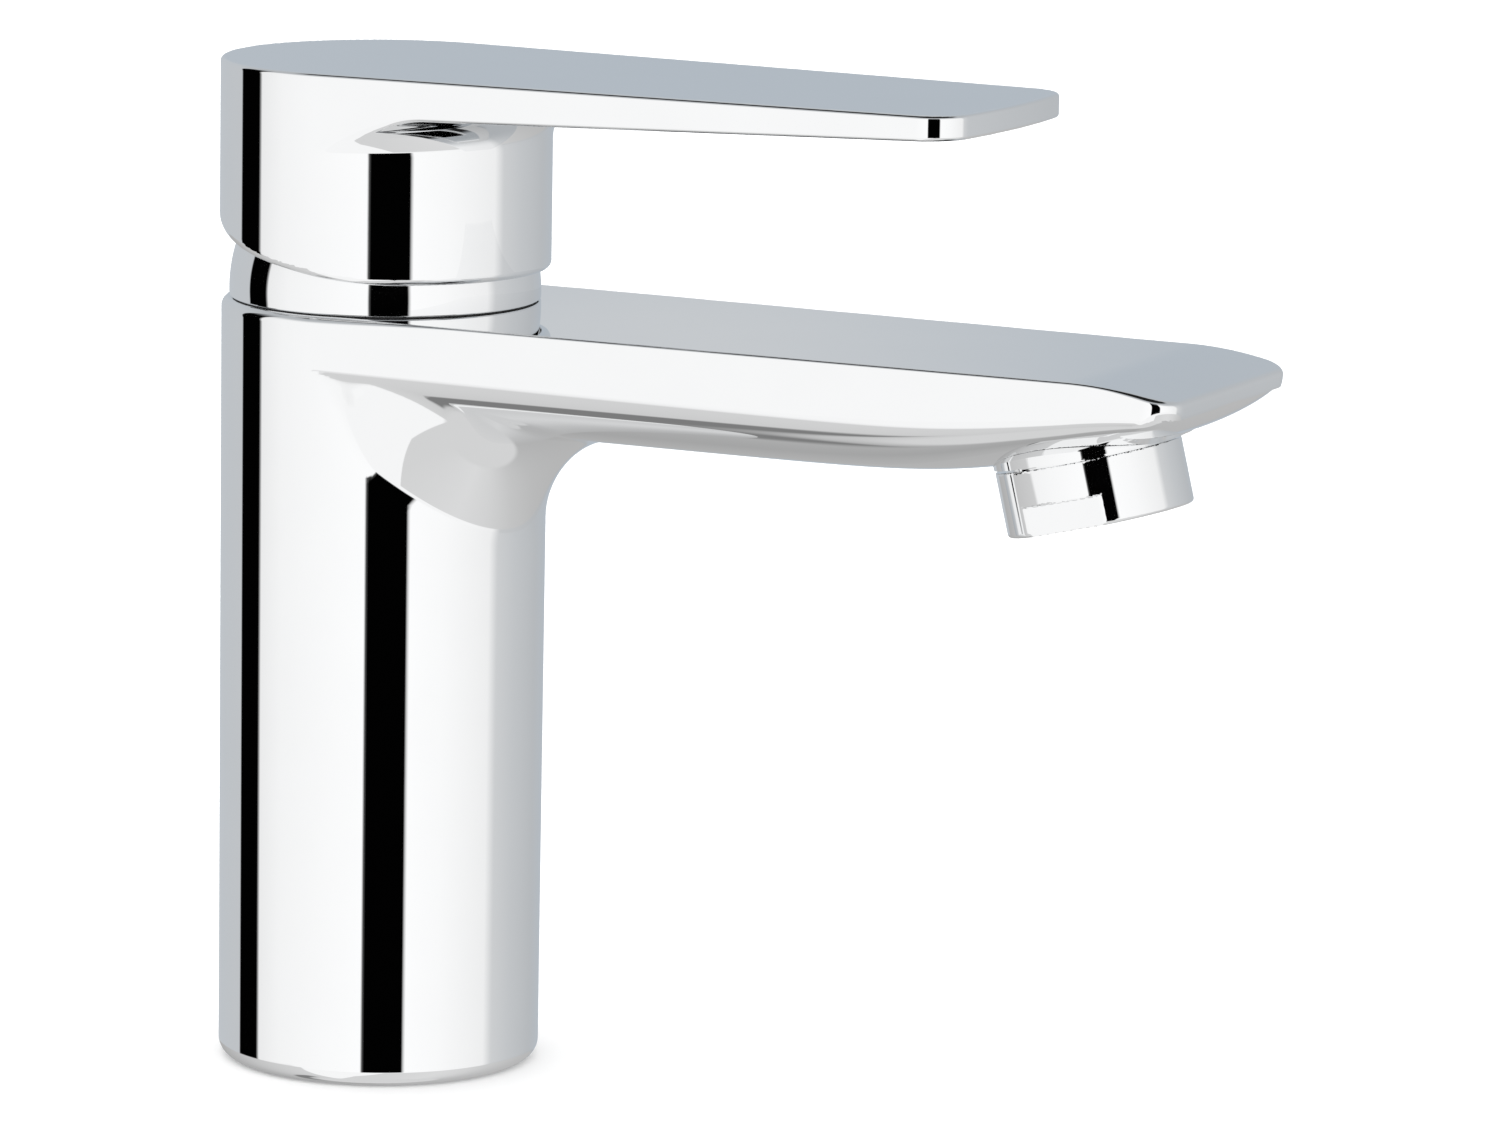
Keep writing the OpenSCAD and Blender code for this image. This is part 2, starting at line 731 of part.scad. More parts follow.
module spindle() {
    color("silver") at_spindle() difference() {
        union() {
            translate([-hub_w / 2, 0, 0]) rotate([0, 90, 0]) cylinder(h = hub_w, r = 5);
            translate([0, 0, -finger_arm]) cylinder(h = finger_arm, r = finger_ball_r - 0.5);
            translate([0, 0, -finger_arm]) sphere(finger_ball_r);
            translate([-stem_w / 2, -stem_w / 2, 0]) cube([stem_w, stem_w, stem_len]);
        }
        translate([-FAR / 2, 0, 0]) rotate([0, 90, 0]) cylinder(h = FAR, r = pin_r + run);
    }
}

// Outline of the lever's plate, seen from above
module plate_outline() {
    w0 = skirt_r / cos(lever_taper);
    tip_w = w0 - lever_len * tan(lever_taper);
    inner = lever_len - plate_corner_r;
    shoulder_w = w0 - inner * tan(lever_taper);
    intersection() {
        union() {
            polygon([[-w0, 0], [w0, 0], [shoulder_w, -inner], [-shoulder_w, -inner]]);
            translate([-tip_w + plate_corner_r, -lever_len]) square([2 * (tip_w - plate_corner_r), plate_corner_r + 1]);
            for (side = [-1, 1]) translate([side * (shoulder_w - plate_corner_r - 0.1), -inner]) circle(plate_corner_r);
        }
        translate([0, plate_bow_r - lever_len]) circle(plate_bow_r);
    }
}

// The plate's side profile: flat on top, thinner towards the tip
module plate_profile() {
    slope = (plate_tip_z - plate_root_z) / (lever_len - skirt_r);
    polygon([
        [0, lever_top], [0, plate_root_z - slope * skirt_r],
        [lever_len + 5, plate_tip_z + 5 * slope], [lever_len + 5, lever_top]
    ]);
}

module plate() {
    intersection() {
        translate([0, 0, body_h]) linear_extrude(FAR) plate_outline();
        translate([FAR / 2, 0, 0]) rotate([90, 0, -90]) linear_extrude(FAR) plate_profile();
    }
}

// Ring fillet under the plate, kept within its outline
module plate_fillet() {
    intersection() {
        translate([0, 0, plate_root_z]) rotate_extrude() difference() {
            translate([skirt_r - 1, -plate_fillet_r]) square(plate_fillet_r + 1);
            translate([skirt_r + plate_fillet_r, -plate_fillet_r]) circle(plate_fillet_r);
        }
        translate([0, -skirt_r / 2, body_h]) linear_extrude(FAR) intersection() {
            translate([0, skirt_r / 2]) plate_outline();
            translate([-FAR / 2, -FAR]) square([FAR, FAR]);
        }
    }
}

// What is cut off under the skirt: level in front, rising and bevelled at the rear
module skirt_cut() {
    rear_in = skirt_r - rear_chamfer_in;
    rear_in_z = skirt_z + (rear_in + rear_cut_y) * tan(rear_slope);
    translate([-FAR / 2, -FAR / 2, skirt_z - FAR]) cube(FAR);
    translate([-FAR / 2, -rear_cut_y, skirt_z]) rotate([rear_slope, 0, 0]) translate([0, -FAR / 4, -FAR]) cube(FAR);
    translate([-FAR / 2, rear_in, rear_in_z]) rotate([rear_chamfer, 0, 0]) translate([0, -FAR / 4, -FAR]) cube(FAR);
}

// Hollow under the lever: a ball that clears the collar, and a straight bore above it
module lever_hollow() {
    translate([0, 0, pivot_z]) sphere(cavity_ball_r);
    translate([0, 0, body_h]) cylinder(h = pivot_z - body_h, r = cavity_ball_r);
    translate([0, 0, pivot_z]) cylinder(h = cavity_roof - pivot_z, r = skirt_r - skirt_wall);
}

module boss() {
    at_spindle() translate([0, 0, boss_start])
        cylinder(h = (plate_root_z - pivot_z) / cos(spindle_tilt) - boss_start + 1, r = boss_r);
}

// Puts its children on the grub screw's axis, with +z pointing to the rear
module at_grub() {
    at_spindle() translate([0, 0, grub_at]) rotate([-90, 0, 0]) children();
}

module lever_handle() {
    color("gainsboro") difference() {
        union() {
            difference() {
                union() {
                    translate([0, 0, body_h]) cylinder(h = lever_rise, r = skirt_r);
                    plate();
                    plate_fillet();
                }
                skirt_cut();
                lever_hollow();
            }
            boss();
        }
        at_spindle() translate([-stem_w / 2 - run, -stem_w / 2 - run, 0])
            cube([stem_w + 2 * run, stem_w + 2 * run, stem_len + 0.1]);
        at_grub() cylinder(h = boss_r + 5, r = grub_r);
        at_grub() translate([0, 0, skirt_r - skirt_wall - 4]) cylinder(h = 20, r = plug_r);
    }
}

module grub_screw() {
    color("dimgray") at_grub() translate([0, 0, stem_w / 2]) difference() {
        cylinder(h = grub_len, r = grub_r);
        translate([0, 0, grub_len - 2.5]) cylinder(h = 4, r = 1.4, $fn = 6);
    }
}

module index_plug() {
    color("lightgray") intersection() {
        at_grub() translate([0, 0, skirt_r - skirt_wall - 1]) cylinder(h = 20, r = plug_r);
        cylinder(h = FAR, r = skirt_r + 0.25);
    }
}

body();
base_seal();
port_seals();
cartridge_base();
disc_seals();
fixed_disc();
cartridge_housing();
slip_ring();
retaining_nut();
limit_ring();
dome_seal();
dome_collar();
aerator_housing();
aerator_washer();
flow_regulator();
aerator_insert();
aerator_screen();
rotor();
rotor_seal();
pivot_pin();
disc_carrier();
moving_disc();
spindle();
lever_handle();
grub_screw();
index_plug();
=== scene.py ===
"""Looks of a single-lever basin mixer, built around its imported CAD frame.

The chromed pieces that show are closed meshes worked out from formulas and turned profiles.
Sizes and shape functions are in millimetres, and the Blender objects are in metres.
In the shape functions s is the distance in front of the column's axis, so s = -y.
"""

import json
import math

import bmesh
import bpy
import numpy as np
from mathutils import Matrix, Vector


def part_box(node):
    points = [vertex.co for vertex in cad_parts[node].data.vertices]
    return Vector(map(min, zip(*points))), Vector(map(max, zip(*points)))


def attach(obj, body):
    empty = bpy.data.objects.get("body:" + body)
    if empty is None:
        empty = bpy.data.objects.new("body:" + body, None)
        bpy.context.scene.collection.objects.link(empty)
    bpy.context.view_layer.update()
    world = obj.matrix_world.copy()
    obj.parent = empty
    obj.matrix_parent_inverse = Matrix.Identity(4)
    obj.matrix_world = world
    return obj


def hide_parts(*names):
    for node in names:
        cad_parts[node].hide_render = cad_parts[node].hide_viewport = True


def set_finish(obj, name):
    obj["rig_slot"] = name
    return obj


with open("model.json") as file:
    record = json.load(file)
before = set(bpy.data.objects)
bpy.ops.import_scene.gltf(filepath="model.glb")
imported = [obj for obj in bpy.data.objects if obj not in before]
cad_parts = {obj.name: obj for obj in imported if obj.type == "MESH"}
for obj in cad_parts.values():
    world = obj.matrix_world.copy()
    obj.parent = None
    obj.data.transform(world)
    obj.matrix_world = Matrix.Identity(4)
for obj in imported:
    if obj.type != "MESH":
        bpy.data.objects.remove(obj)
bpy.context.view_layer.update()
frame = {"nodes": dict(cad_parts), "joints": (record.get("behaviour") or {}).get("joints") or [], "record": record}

MM = 0.001
IN_PLACE = Matrix.Identity(4)

# ---------------------------------------------------------------- sizes


def box_mm(node):
    """A CAD node's lowest and highest corners at rest, in millimetres."""
    low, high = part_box(node)
    return np.array(low) / MM, np.array(high) / MM


BODY_LOW, BODY_HIGH = box_mm("body")
LEVER_LOW, LEVER_HIGH = box_mm("lever_handle")
DOME_LOW, DOME_HIGH = box_mm("dome_collar")
BASE_LOW, BASE_HIGH = box_mm("cartridge_base")
NUT_LOW, NUT_HIGH = box_mm("retaining_nut")
DOME_SEAL_HIGH = box_mm("dome_seal")[1]
FOOT_SEAL_HIGH = box_mm("base_seal")[1]

# Column
FLARE = 0.25
TOP_R = BODY_HIGH[0]
FOOT_R = TOP_R - FLARE
BODY_H = BODY_HIGH[2]
FOOT_EDGE_R = 2.5
TOP_EDGE_R = 1.5
PIVOT_Z = frame["joints"][0]["pos_m"][2] / MM

# Foot, ports and chamber
FOOT_WALL, FOOT_RING_H, FOOT_OPENING_R = 4.0, 6.0, 17.5
FIT = 0.05
SEAL_GROOVE_W = 1.95
HOSE_R, HOSE_LEN = 4.5, 9.0
STUD_R, STUD_LEN = 3.4, 10.0
PEG_LEN, WEB_T = 3.0, 24.0
CHAMBER_FLOOR = BASE_LOW[2] + PEG_LEN
WEB_Z = CHAMBER_FLOOR - WEB_T
CHAMBER_R = BASE_HIGH[0] + 0.2
RECESS_IN, RECESS_DEPTH = 2.1, 3.0
RECESS_R = DOME_HIGH[0] - RECESS_IN

# Spout
SPOUT_LEN = -BODY_LOW[1]
SPOUT_DEPTH = 18.0
TAPER = math.radians(1.0)
ROOT_R, ROOT_START, ROOT_FADE = 17.0, 1.0, 11.0
SIDE_BAND = 0.42
SIDE_EDGE_R = 0.45
ROLL_START, ROLL_R = SPOUT_LEN - 16.5, 65.0
NOSE_R, NOSE_DROP = 9.0, 2.2
NOSE_EDGE_R, NOSE_CORNER_R = 0.9, 4.5
KEEL_BEND, KEEL_UNDER = 0.6, 0.3

# Outlet
REACH = 114.4
OUTLET_Z = BODY_H - 13.7
TILT = math.radians(14.0)
RING_R, RING_H, RING_GAP = 13.5, 9.5, 0.35
RING_EDGE_R, RING_LOW_EDGE_R = 0.2, 0.55
PAD_R, PAD_TOP = RING_R + 0.1, 8.0
FLATS, FLAT_H = 24.0, 4.3
THREAD_R, THREAD_LEN, BORE_STEP = 12.0, 5.0, 2.5
INSERT_R, MOUTH_R, LIP_H = 10.45, 9.3, 1.0

# Lever
SKIRT_R = LEVER_HIGH[1]
LEVER_TOP = LEVER_HIGH[2]
LEVER_LEN = -LEVER_LOW[1]
SKIRT_GAP = 4.8
SKIRT_Z = BODY_H + SKIRT_GAP
LEVER_TAPER = math.radians(2.5)
PLATE_ROOT_T, PLATE_TIP_T = 5.8, 3.5
PLATE_CORNER_R, PLATE_BOW_R = 5.0, 120.0
PLATE_EDGE_R, PLATE_TOP_EDGE_R = 0.6, 0.6
PLATE_FILLET_R = 5.5
REAR_CUT_S, REAR_SLOPE = 6.6, math.radians(9.7)
RIM_FRONT_R, RIM_REAR_R = 1.0, 3.0
BALL_GAP, SKIRT_WALL = 0.4, 3.4
BALL_R = DOME_HIGH[0] + BALL_GAP
HOLLOW_R = SKIRT_R - SKIRT_WALL
HOLLOW_TOP = LEVER_TOP - PLATE_ROOT_T - 0.5
SPINDLE_TILT = math.radians(11.0)
BOSS_R, BOSS_START = 9.0, 12.0
STEM_W, STEM_LEN = 8.1, 25.1
GRUB_AT, GRUB_R, PLUG_R = 16.0, 2.5, 3.5
PLUG_SEAT = HOLLOW_R - 4.0
PLATE_EDGE_FULL = 14.0

# Collar
DOME_R = DOME_HIGH[0]
DOME_WALL, DOME_OPEN_R = 1.7, 14.0
COLLAR_LINE, COLLAR_EDGE_R = 0.15, 0.2
SPIGOT_WALL = 1.5
SPIGOT_OUT_R = RECESS_R - 0.1
SPIGOT_IN_R = SPIGOT_OUT_R - SPIGOT_WALL

# Sides of a turned shape
TURN, FINE_TURN = 128, 192

# ---------------------------------------------------------------- rounded solids as formulas


def both(a, b, r):
    """Intersection of two distances with an edge rounded to radius r."""
    return np.minimum(-r, np.maximum(a, b)) + np.hypot(np.maximum(a + r, 0), np.maximum(b + r, 0))


def either(a, b, r):
    """Union of two distances with a concave fillet of radius r."""
    return np.maximum(r, np.minimum(a, b)) - np.hypot(np.maximum(r - a, 0), np.maximum(r - b, 0))


def ramp(t, low, high):
    """Smooth step from 0 at low to 1 at high."""
    u = np.clip((t - low) / (high - low), 0, 1)
    return u * u * (3 - 2 * u)


def ball_fillet(a, b, cosine, r):
    """Union with the fillet that a ball of radius r leaves; cosine is that of the normals' angle."""
    gap_a, gap_b = r - a, r - b
    spread = np.maximum(1 - cosine**2, 1e-4)
    reach_a = gap_a - cosine * gap_b
    reach_b = gap_b - cosine * gap_a
    ball = np.sqrt(np.maximum(gap_a**2 + gap_b**2 - 2 * cosine * gap_a * gap_b, 0) / spread)
    return np.where((reach_a > 0) & (reach_b > 0) & (gap_a + gap_b > 0), r - ball, np.minimum(a, b))


def ellipse_distance(x, y, wide, deep):
    """Distance outside an upright ellipse, for x and y from 0 up."""
    tx = ty = np.full(np.broadcast(x, y).shape, math.sqrt(0.5))
    for _ in range(4):
        ex, ey = (wide**2 - deep**2) * tx**3 / wide, (deep**2 - wide**2) * ty**3 / deep
        scale = np.hypot(wide * tx - ex, deep * ty - ey) / np.maximum(np.hypot(x - ex, y - ey), 1e-6)
        tx = np.clip(((x - ex) * scale + ex) / wide, 0, 1)
        ty = np.clip(((y - ey) * scale + ey) / deep, 0, 1)
        size = np.maximum(np.hypot(tx, ty), 1e-9)
        tx, ty = tx / size, ty / size
    outside = (x / wide) ** 2 + (y / deep) ** 2 > 1
    return np.where(outside, 1, -1) * np.hypot(x - wide * tx, y - deep * ty)


def top_height(s):
    """Flat top, which rolls down gently over the nose."""
    return BODY_H - np.maximum(s - ROLL_START, 0) ** 2 / (2 * ROLL_R)


def seat_height(s):
    """The tilted plane that the aerator's ring nearly touches."""
    return OUTLET_Z + RING_GAP / math.cos(TILT) + (s - REACH) * math.tan(TILT)


def hull(x, s, z):
    """Upright side band above a half ellipse, which rises along the aerator's seat towards the nose."""
    half = TOP_R / math.cos(TAPER) - s * math.tan(TAPER)
    level = BODY_H - SPOUT_DEPTH
    keel = np.logaddexp(level * KEEL_BEND, (seat_height(s) - KEEL_UNDER) * KEEL_BEND) / KEEL_BEND
    band = top_height(s) - SIDE_BAND * (top_height(s) - keel)
    below = ellipse_distance(x, np.maximum(band - z, 0), half, np.maximum(band - keel, 1))
    return np.where(z > band, x - half, below)


def nose(s, z):
    """Front face: a round foremost line, which sweeps back below it."""
    nose_s, nose_z = SPOUT_LEN - NOSE_R, BODY_H - NOSE_DROP
    front = np.where(z < nose_z, np.hypot(np.maximum(s - nose_s, 0), z - nose_z) - NOSE_R, s - SPOUT_LEN)
    return np.where(s < nose_s, s - SPOUT_LEN, front)


def column(x, s, z):
    wall = np.hypot(x, s) - FOOT_R - (TOP_R - FOOT_R) * z / BODY_H
    return both(wall, -z, FOOT_EDGE_R)


def ring_shape(p):
    """The aerator's ring as a solid disc with two spanner flats low on its sides."""
    x, ahead, up = np.abs(p[..., 0]), -p[..., 1] - REACH, p[..., 2] - OUTLET_Z
    along = up * math.cos(TILT) - ahead * math.sin(TILT)
    across = ahead * math.cos(TILT) + up * math.sin(TILT)
    disc = both(both(np.hypot(x, across) - RING_R, along, RING_EDGE_R), -RING_H - along, RING_LOW_EDGE_R)
    notch = np.minimum(x - FLATS / 2, FLAT_H - RING_H - along)
    return both(disc, notch, RING_EDGE_R)


def body_shape(p):
    x, s, z = np.abs(p[..., 0]), -p[..., 1], p[..., 2]
    post = column(x, s, z)
    under = hull(x, s, z)
    step = 0.05
    tilt_x = (hull(x + step, s, z) - under) / step
    tilt_s = (hull(x, s + step, z) - under) / step
    radius = np.maximum(np.hypot(x, s), 1e-6)
    cosine = np.clip((tilt_x * x + tilt_s * s) / radius, -0.999, 0.999)
    fillet = ROOT_R * ramp(s, 0, ROOT_FADE)
    sides = both(under, nose(s, z), NOSE_CORNER_R)
    behind = ROOT_START - s
    rooted = np.where(behind > under, np.minimum(post, behind), ball_fillet(post, under, cosine, fillet))
    joined = np.where(s < SPOUT_LEN / 2, rooted, sides)
    round_edge = SIDE_EDGE_R + (TOP_EDGE_R - SIDE_EDGE_R) * (1 - ramp(s, 0, TOP_R))
    round_edge = round_edge + (NOSE_EDGE_R - SIDE_EDGE_R) * ramp(s, SPOUT_LEN - 12, SPOUT_LEN - 3)
    return both(joined, z - top_height(s), round_edge)


def plate_outline(x, s):
    """Distance outside the lever's plan: a circle that runs on into a tapered plate."""
    width = SKIRT_R / math.cos(LEVER_TAPER)
    flank = (x - width + s * math.tan(LEVER_TAPER)) * math.cos(LEVER_TAPER)
    bow = np.hypot(x, s + PLATE_BOW_R - LEVER_LEN) - PLATE_BOW_R
    plate = both(flank, bow, PLATE_CORNER_R)
    return np.where(s > SKIRT_R * math.sin(LEVER_TAPER), plate, np.hypot(x, s) - SKIRT_R)


def lever_shape(p):
    x, s, z = np.abs(p[..., 0]), -p[..., 1], p[..., 2]
    slope = (PLATE_ROOT_T - PLATE_TIP_T) / (LEVER_LEN - SKIRT_R)
    under = LEVER_TOP - PLATE_ROOT_T + slope * (s - SKIRT_R) - z
    skirt = np.where(s > 0, np.hypot(x, s) - SKIRT_R, x - SKIRT_R)
    lower = either(skirt, under, PLATE_FILLET_R)
    shape = both(plate_outline(x, s), lower, PLATE_EDGE_R * ramp(s, 0, PLATE_EDGE_FULL) + 1e-3)
    shape = both(shape, z - LEVER_TOP, PLATE_TOP_EDGE_R)
    rising = SKIRT_Z + (REAR_CUT_S - s) * math.tan(REAR_SLOPE)
    edge = np.logaddexp(SKIRT_Z * 2, rising * 2) / 2
    rim = RIM_FRONT_R + (RIM_REAR_R - RIM_FRONT_R) * ramp(-s, REAR_CUT_S, SKIRT_R)
    return both(shape, edge - z, rim)


# ---------------------------------------------------------------- formulas to meshes


def steps(*stops):
    """Grid lines from the first stop on: each (end, pitch) pair runs evenly to its end."""
    lines = [stops[0]]
    for end, pitch in stops[1:]:
        count = max(1, round(abs(end - lines[-1]) / pitch))
        lines += list(np.linspace(lines[-1], end, count + 1)[1:])
    return np.array(lines)


def mirrored(lines):
    return np.concatenate([-lines[::-1], lines])


def slope_of(shape, points, reach=0.02):
    """Direction in which the formula grows, by central differences."""
    grads = np.empty_like(points)
    for axis in range(3):
        step = np.zeros(3)
        step[axis] = reach
        grads[:, axis] = (shape(points + step) - shape(points - step)) / (2 * reach)
    return grads


def cell_points(corners, value):
    """One point in each grid cell that the surface crosses, and each cell's number or -1."""
    inside = value < 0
    shape = tuple(n - 1 for n in inside.shape)
    count = np.zeros(shape, int)
    total = np.zeros(shape + (3,))
    for axis in range(3):
        a = tuple(slice(None, -1) if k == axis else slice(None) for k in range(3))
        b = tuple(slice(1, None) if k == axis else slice(None) for k in range(3))
        crossed = inside[a] != inside[b]
        share = np.where(crossed, value[a] / np.where(crossed, value[a] - value[b], 1), 0)
        point = (corners[a] + share[..., None] * (corners[b] - corners[a])) * crossed[..., None]
        u, v = (k for k in range(3) if k != axis)
        for du in (0, 1):
            for dv in (0, 1):
                pick = [slice(None)] * 3
                pick[u] = slice(du, du + shape[u])
                pick[v] = slice(dv, dv + shape[v])
                count += crossed[tuple(pick)]
                total += point[tuple(pick)]
    used = count > 0
    number = np.full(shape, -1)
    number[used] = np.arange(used.sum())
    return total[used] / count[used][:, None], number, inside


def settle(shape, points):
    """Moves the points onto the surface in a few short steps."""
    for _ in range(6):
        grads = slope_of(shape, points)
        size = np.maximum((grads**2).sum(-1), 0.05)
        move = shape(points)[:, None] * grads / size[:, None]
        length = np.linalg.norm(move, axis=-1, keepdims=True)
        points = points - move * np.minimum(1, 0.6 / np.maximum(length, 1e-9))
    return points


def cell_faces(number, inside):
    """A quad round each grid edge that the surface crosses, facing outwards."""
    faces = []
    for axis in range(3):
        u, v = (k for k in range(3) if k != axis)
        a = tuple(slice(None, -1) if k == axis else slice(1, -1) for k in range(3))
        b = tuple(slice(1, None) if k == axis else slice(1, -1) for k in range(3))
        for leaving in (True, False):
            found = np.argwhere(inside[a] & ~inside[b] if leaving else ~inside[a] & inside[b])
            ring = []
            for du, dv in ((0, 0), (1, 0), (1, 1), (0, 1)):
                index = found.copy()
                index[:, u] += du
                index[:, v] += dv
                ring.append(number[tuple(index.T)])
            quad = np.stack(ring, -1)
            faces.append(quad if leaving != (axis == 1) else quad[:, ::-1])
    return np.concatenate(faces)


def add_mesh(name, points, faces):
    """A mesh object from millimetre points."""
    mesh = bpy.data.meshes.new(name)
    mesh.from_pydata((np.asarray(points) * MM).tolist(), [], [list(map(int, face)) for face in faces])
    mesh.update()
    piece = bpy.data.objects.new(name, mesh)
    bpy.context.scene.collection.objects.link(piece)
    return piece


def formula_piece(name, shape, xs, ys, zs):
    """Closed quad mesh of the surface shape = 0, found on the grid that xs, ys and zs span."""
    corners = np.stack(np.meshgrid(xs, ys, zs, indexing="ij"), -1)
    points, number, inside = cell_points(corners, shape(corners))
    return add_mesh(name, settle(shape, points), cell_faces(number, inside))


# ---------------------------------------------------------------- turned shapes and cuts


def arc(r, z, radius, start, end, count=8):
    """Points of an arc in a profile, with angles in degrees from outwards, turning upwards."""
    turns = np.radians(np.linspace(start, end, count + 1))
    return [(r + radius * math.cos(a), z + radius * math.sin(a)) for a in turns]


def lathe(name, profile, place=IN_PLACE, count=TURN):
    """Turns a closed profile of (radius, height) points about Z, then places it. Points on the axis merge."""
    shape = bmesh.new()
    rings = []
    for r, z in profile:
        turn = 1 if r == 0 else count
        rings.append([
            shape.verts.new((r * math.cos(a), r * math.sin(a), z))
            for a in np.linspace(0, 2 * math.pi, turn, endpoint=False)
        ])
    for low, high in zip(rings, rings[1:] + rings[:1]):
        for i in range(count):
            after = i + 1
            corners = list(dict.fromkeys([
                low[i % len(low)], low[after % len(low)], high[after % len(high)], high[i % len(high)],
            ]))
            if len(corners) > 2:
                shape.faces.new(corners)
    bmesh.ops.recalc_face_normals(shape, faces=shape.faces)
    shape.transform(place)
    bmesh.ops.scale(shape, vec=(MM, MM, MM), verts=shape.verts)
    mesh = bpy.data.meshes.new(name)
    shape.to_mesh(mesh)
    shape.free()
    piece = bpy.data.objects.new(name, mesh)
    bpy.context.scene.collection.objects.link(piece)
    return piece


def rod(radius, start, end, place=IN_PLACE, count=64):
    """A closed cylinder along its own Z, to cut or add with."""
    return lathe("tool", [(0, start), (radius, start), (radius, end), (0, end)], place, count)


def block(low, high, place=IN_PLACE):
    """A closed box, to cut with."""
    shape = bmesh.new()
    bmesh.ops.create_cube(shape, size=1)
    size = Vector(high) - Vector(low)
    bmesh.ops.scale(shape, vec=size, verts=shape.verts)
    bmesh.ops.translate(shape, vec=(Vector(high) + Vector(low)) / 2, verts=shape.verts)
    shape.transform(place)
    bmesh.ops.scale(shape, vec=(MM, MM, MM), verts=shape.verts)
    mesh = bpy.data.meshes.new("tool")
    shape.to_mesh(mesh)
    shape.free()
    piece = bpy.data.objects.new("tool", mesh)
    bpy.context.scene.collection.objects.link(piece)
    return piece


def apply_tool(piece, tool, operation="DIFFERENCE"):
    """Cuts the tool out of the piece, or adds it, and deletes the tool."""
    change = piece.modifiers.new("tool", "BOOLEAN")
    change.object = tool
    change.operation = operation
    change.solver = "EXACT"
    bpy.context.view_layer.update()
    result = bpy.data.meshes.new_from_object(piece.evaluated_get(bpy.context.evaluated_depsgraph_get()))
    piece.modifiers.clear()
    piece.data = result
    bpy.data.objects.remove(tool)


SHARP_ANGLE = math.radians(30)
NEAR_SURFACE, SAME_WAY = 0.3, 0.85


def shade(piece, shape=None):
    """Smooth shading with sharp cut edges; faces on the formula's surface take its own direction."""
    mesh = piece.data
    mesh.shade_smooth()
    mesh.set_sharp_from_angle(angle=SHARP_ANGLE)
    if shape is None:
        return
    points = np.empty(len(mesh.vertices) * 3)
    centres = np.empty(len(mesh.polygons) * 3)
    flats = np.empty(len(mesh.polygons) * 3)
    mesh.vertices.foreach_get("co", points)
    mesh.polygons.foreach_get("center", centres)
    mesh.polygons.foreach_get("normal", flats)
    corners = np.empty(len(mesh.loops), int)
    sizes = np.empty(len(mesh.polygons), int)
    mesh.loops.foreach_get("vertex_index", corners)
    mesh.polygons.foreach_get("loop_total", sizes)
    normals = np.empty(len(mesh.loops) * 3)
    mesh.corner_normals.foreach_get("vector", normals)
    normals = normals.reshape(-1, 3)
    grads = slope_of(shape, points.reshape(-1, 3) / MM)
    grads /= np.maximum(np.linalg.norm(grads, axis=-1, keepdims=True), 1e-9)
    face = np.repeat(np.arange(len(sizes)), sizes)
    near = np.abs(shape(centres.reshape(-1, 3) / MM)) < NEAR_SURFACE
    along = (grads[corners] * flats.reshape(-1, 3)[face]).sum(-1) > SAME_WAY
    own = near[face] & along
    normals[own] = grads[corners][own]
    mesh.normals_split_custom_set(normals.tolist())


# ---------------------------------------------------------------- pieces

OUTLET_PLACE = Matrix.Translation((0, -REACH, OUTLET_Z)) @ Matrix.Rotation(-TILT, 4, "X")
SPINDLE_PLACE = Matrix.Translation((0, 0, PIVOT_Z)) @ Matrix.Rotation(SPINDLE_TILT, 4, "X")
GRUB_PLACE = SPINDLE_PLACE @ Matrix.Translation((0, 0, GRUB_AT)) @ Matrix.Rotation(math.radians(-90), 4, "X")
BEYOND = 60.0


def finish_piece(piece, node, body, slot="chrome"):
    """The piece stands for a CAD node, rides on its body and takes a slot's finish."""
    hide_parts(node)
    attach(piece, body)
    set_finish(piece, slot)
    return piece


